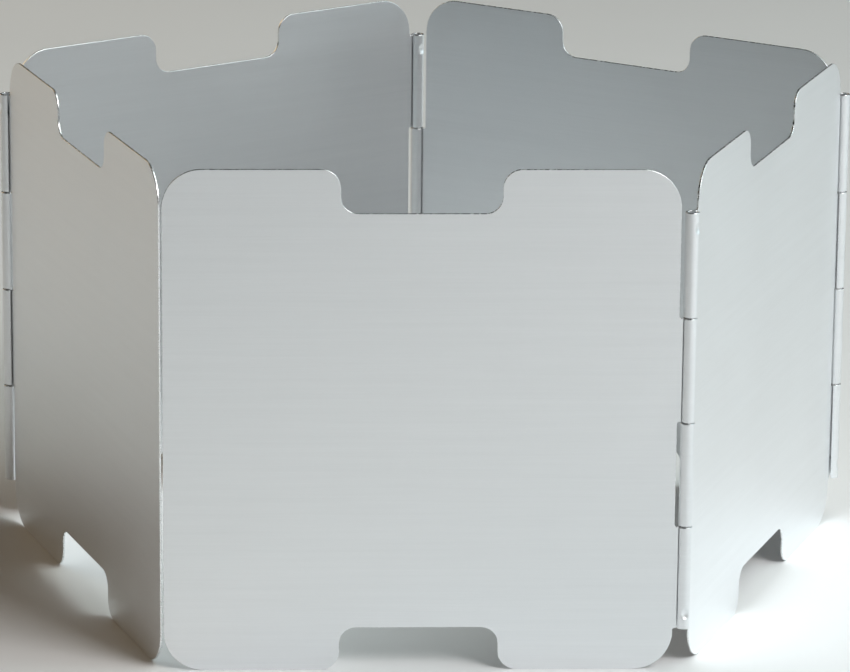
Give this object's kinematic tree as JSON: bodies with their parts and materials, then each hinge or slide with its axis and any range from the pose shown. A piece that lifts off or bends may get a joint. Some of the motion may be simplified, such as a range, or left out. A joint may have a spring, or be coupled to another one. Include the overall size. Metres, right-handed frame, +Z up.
{
  "type": "folding stove windscreen",
  "caption": "Folding windscreen for a camp stove: notched sheet-metal panels on rolled-knuckle hinges stand in a ring open at one corner and fold up zigzag into a flat stack.",
  "frame": {"origin": "on the ground, in the middle of the standing ring's outer box", "axes": "+Z up, the front panel's outer face looks along -Y, +X to the right as seen from the front"},
  "size_m": [0.218, 0.1892, 0.124],
  "materials": {
    "sheet": "fine brushed satin",
    "pin_wire": "drawn wire"
  },
  "bodies": {
    "back_right": {"back_right_panel": "sheet", "right_pin": "pin_wire", "back_pin": "pin_wire"},
    "right": {"right_panel": "sheet", "front_pin": "pin_wire"},
    "front": {"front_panel": "sheet"},
    "back_left": {"back_left_panel": "sheet", "left_pin": "pin_wire"},
    "left": {"left_panel": "sheet"}
  },
  "joints": [
    {"name": "right_hinge", "type": "hinge", "parent": "back_right", "child": "right", "pos_m": [0.10733, 0.02473, 0.062], "axis": [0, 0, 1], "range_deg": [0, 257.4]},
    {"name": "front_hinge", "type": "hinge", "parent": "right", "child": "front", "pos_m": [0.05882, -0.09286, 0.062], "axis": [0, 0, -1], "range_deg": [-67.9, 110.1]},
    {"name": "back_hinge", "type": "hinge", "parent": "back_right", "child": "back_left", "pos_m": [-0.00009, 0.09286, 0.062], "axis": [0, 0, 1], "range_deg": [0, 112.45]},
    {"name": "left_hinge", "type": "hinge", "parent": "back_left", "child": "left", "pos_m": [-0.10733, 0.02445, 0.062], "axis": [0, 0, -1], "range_deg": [0, 254.2]}
  ],
  "couplings": [
    {"joint": "back_hinge", "follows": "right_hinge", "ratio": 0.4368},
    {"joint": "left_hinge", "follows": "right_hinge", "ratio": 0.9875}
  ]
}
